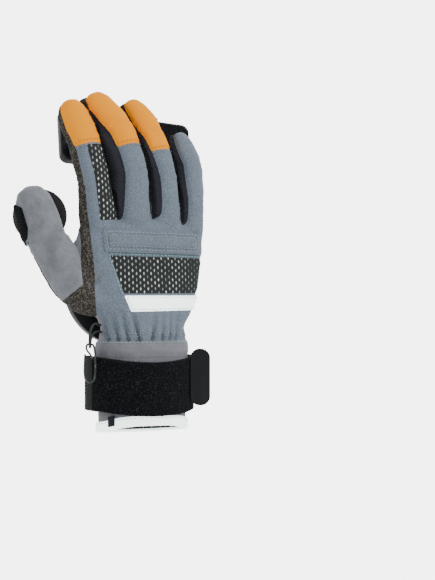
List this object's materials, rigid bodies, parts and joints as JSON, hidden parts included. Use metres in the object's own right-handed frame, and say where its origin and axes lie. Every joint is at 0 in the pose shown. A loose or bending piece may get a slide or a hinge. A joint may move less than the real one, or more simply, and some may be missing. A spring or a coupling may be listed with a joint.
{
  "type": "slide glove",
  "caption": "Padded fabric glove for one hand with hard low-friction pads on palm, thumb and fingers, a wide wrist strap and a small clip on a cord.",
  "frame": {"origin": "centre of the cuff's opening, in the plane of its hem", "axes": "+Z along the hand to the fingertips, -Y out of the back of the hand, +Y out of the palm, -X to the thumb, +X to the little finger"},
  "size_m": [0.1555, 0.0909, 0.2617],
  "materials": {
    "aramid": "speckled dark brown-grey weave, matt",
    "black_knit": "ribbed near-black stretch knit, matt",
    "cord": "braided black cord",
    "fabric": "soft blue-grey woven stretch cloth, matt",
    "loop": "fuzzy black loop pile",
    "mesh": "open black mesh over pale cloth",
    "orange": "fine orange twill, matt",
    "plastic": "black hard-wearing plastic, turned and satin to gloss",
    "reflective": "smooth pale reflective cloth",
    "rubber": "moulded black rubber, satin",
    "suede": "napped purple-grey synthetic suede",
    "webbing": "ribbed black woven webbing with stitched edges",
    "wire": "dark lacquered sprung wire"
  },
  "bodies": {
    "root": {"cuff": "fabric", "cuff_band": "suede", "thumb_back": "fabric", "thumb_strip": "aramid", "thumb_front": "suede", "index_cap": "orange", "middle_cap": "orange", "ring_cap": "orange", "index_mesh": "mesh", "index_outer_side": "black_knit", "middle_outer_side": "black_knit", "ring_outer_side": "black_knit", "middle_inner_side": "black_knit", "ring_inner_side": "black_knit", "little_inner_side": "black_knit", "thumb_collar": "aramid", "thumb_side_strip": "aramid", "little_side_strip": "aramid", "back_mesh": "mesh", "palm": "suede", "hand_back": "fabric", "knuckle_pad": "fabric", "reflective_strip": "reflective", "cuff_lining": "mesh", "cuff_binding": "reflective", "loop_panel": "loop", "wrist_strap": "webbing", "pull_tab": "rubber", "hem_tab": "black_knit", "palm_puck": "plastic", "palm_pad": "loop", "finger_plate": "plastic", "plate_hook": "loop", "index_patch": "loop", "middle_patch": "loop", "ring_patch": "loop", "thumb_puck": "plastic", "thumb_patch": "loop", "clip_cord": "cord", "clip": "wire"}
  },
  "joints": []
}
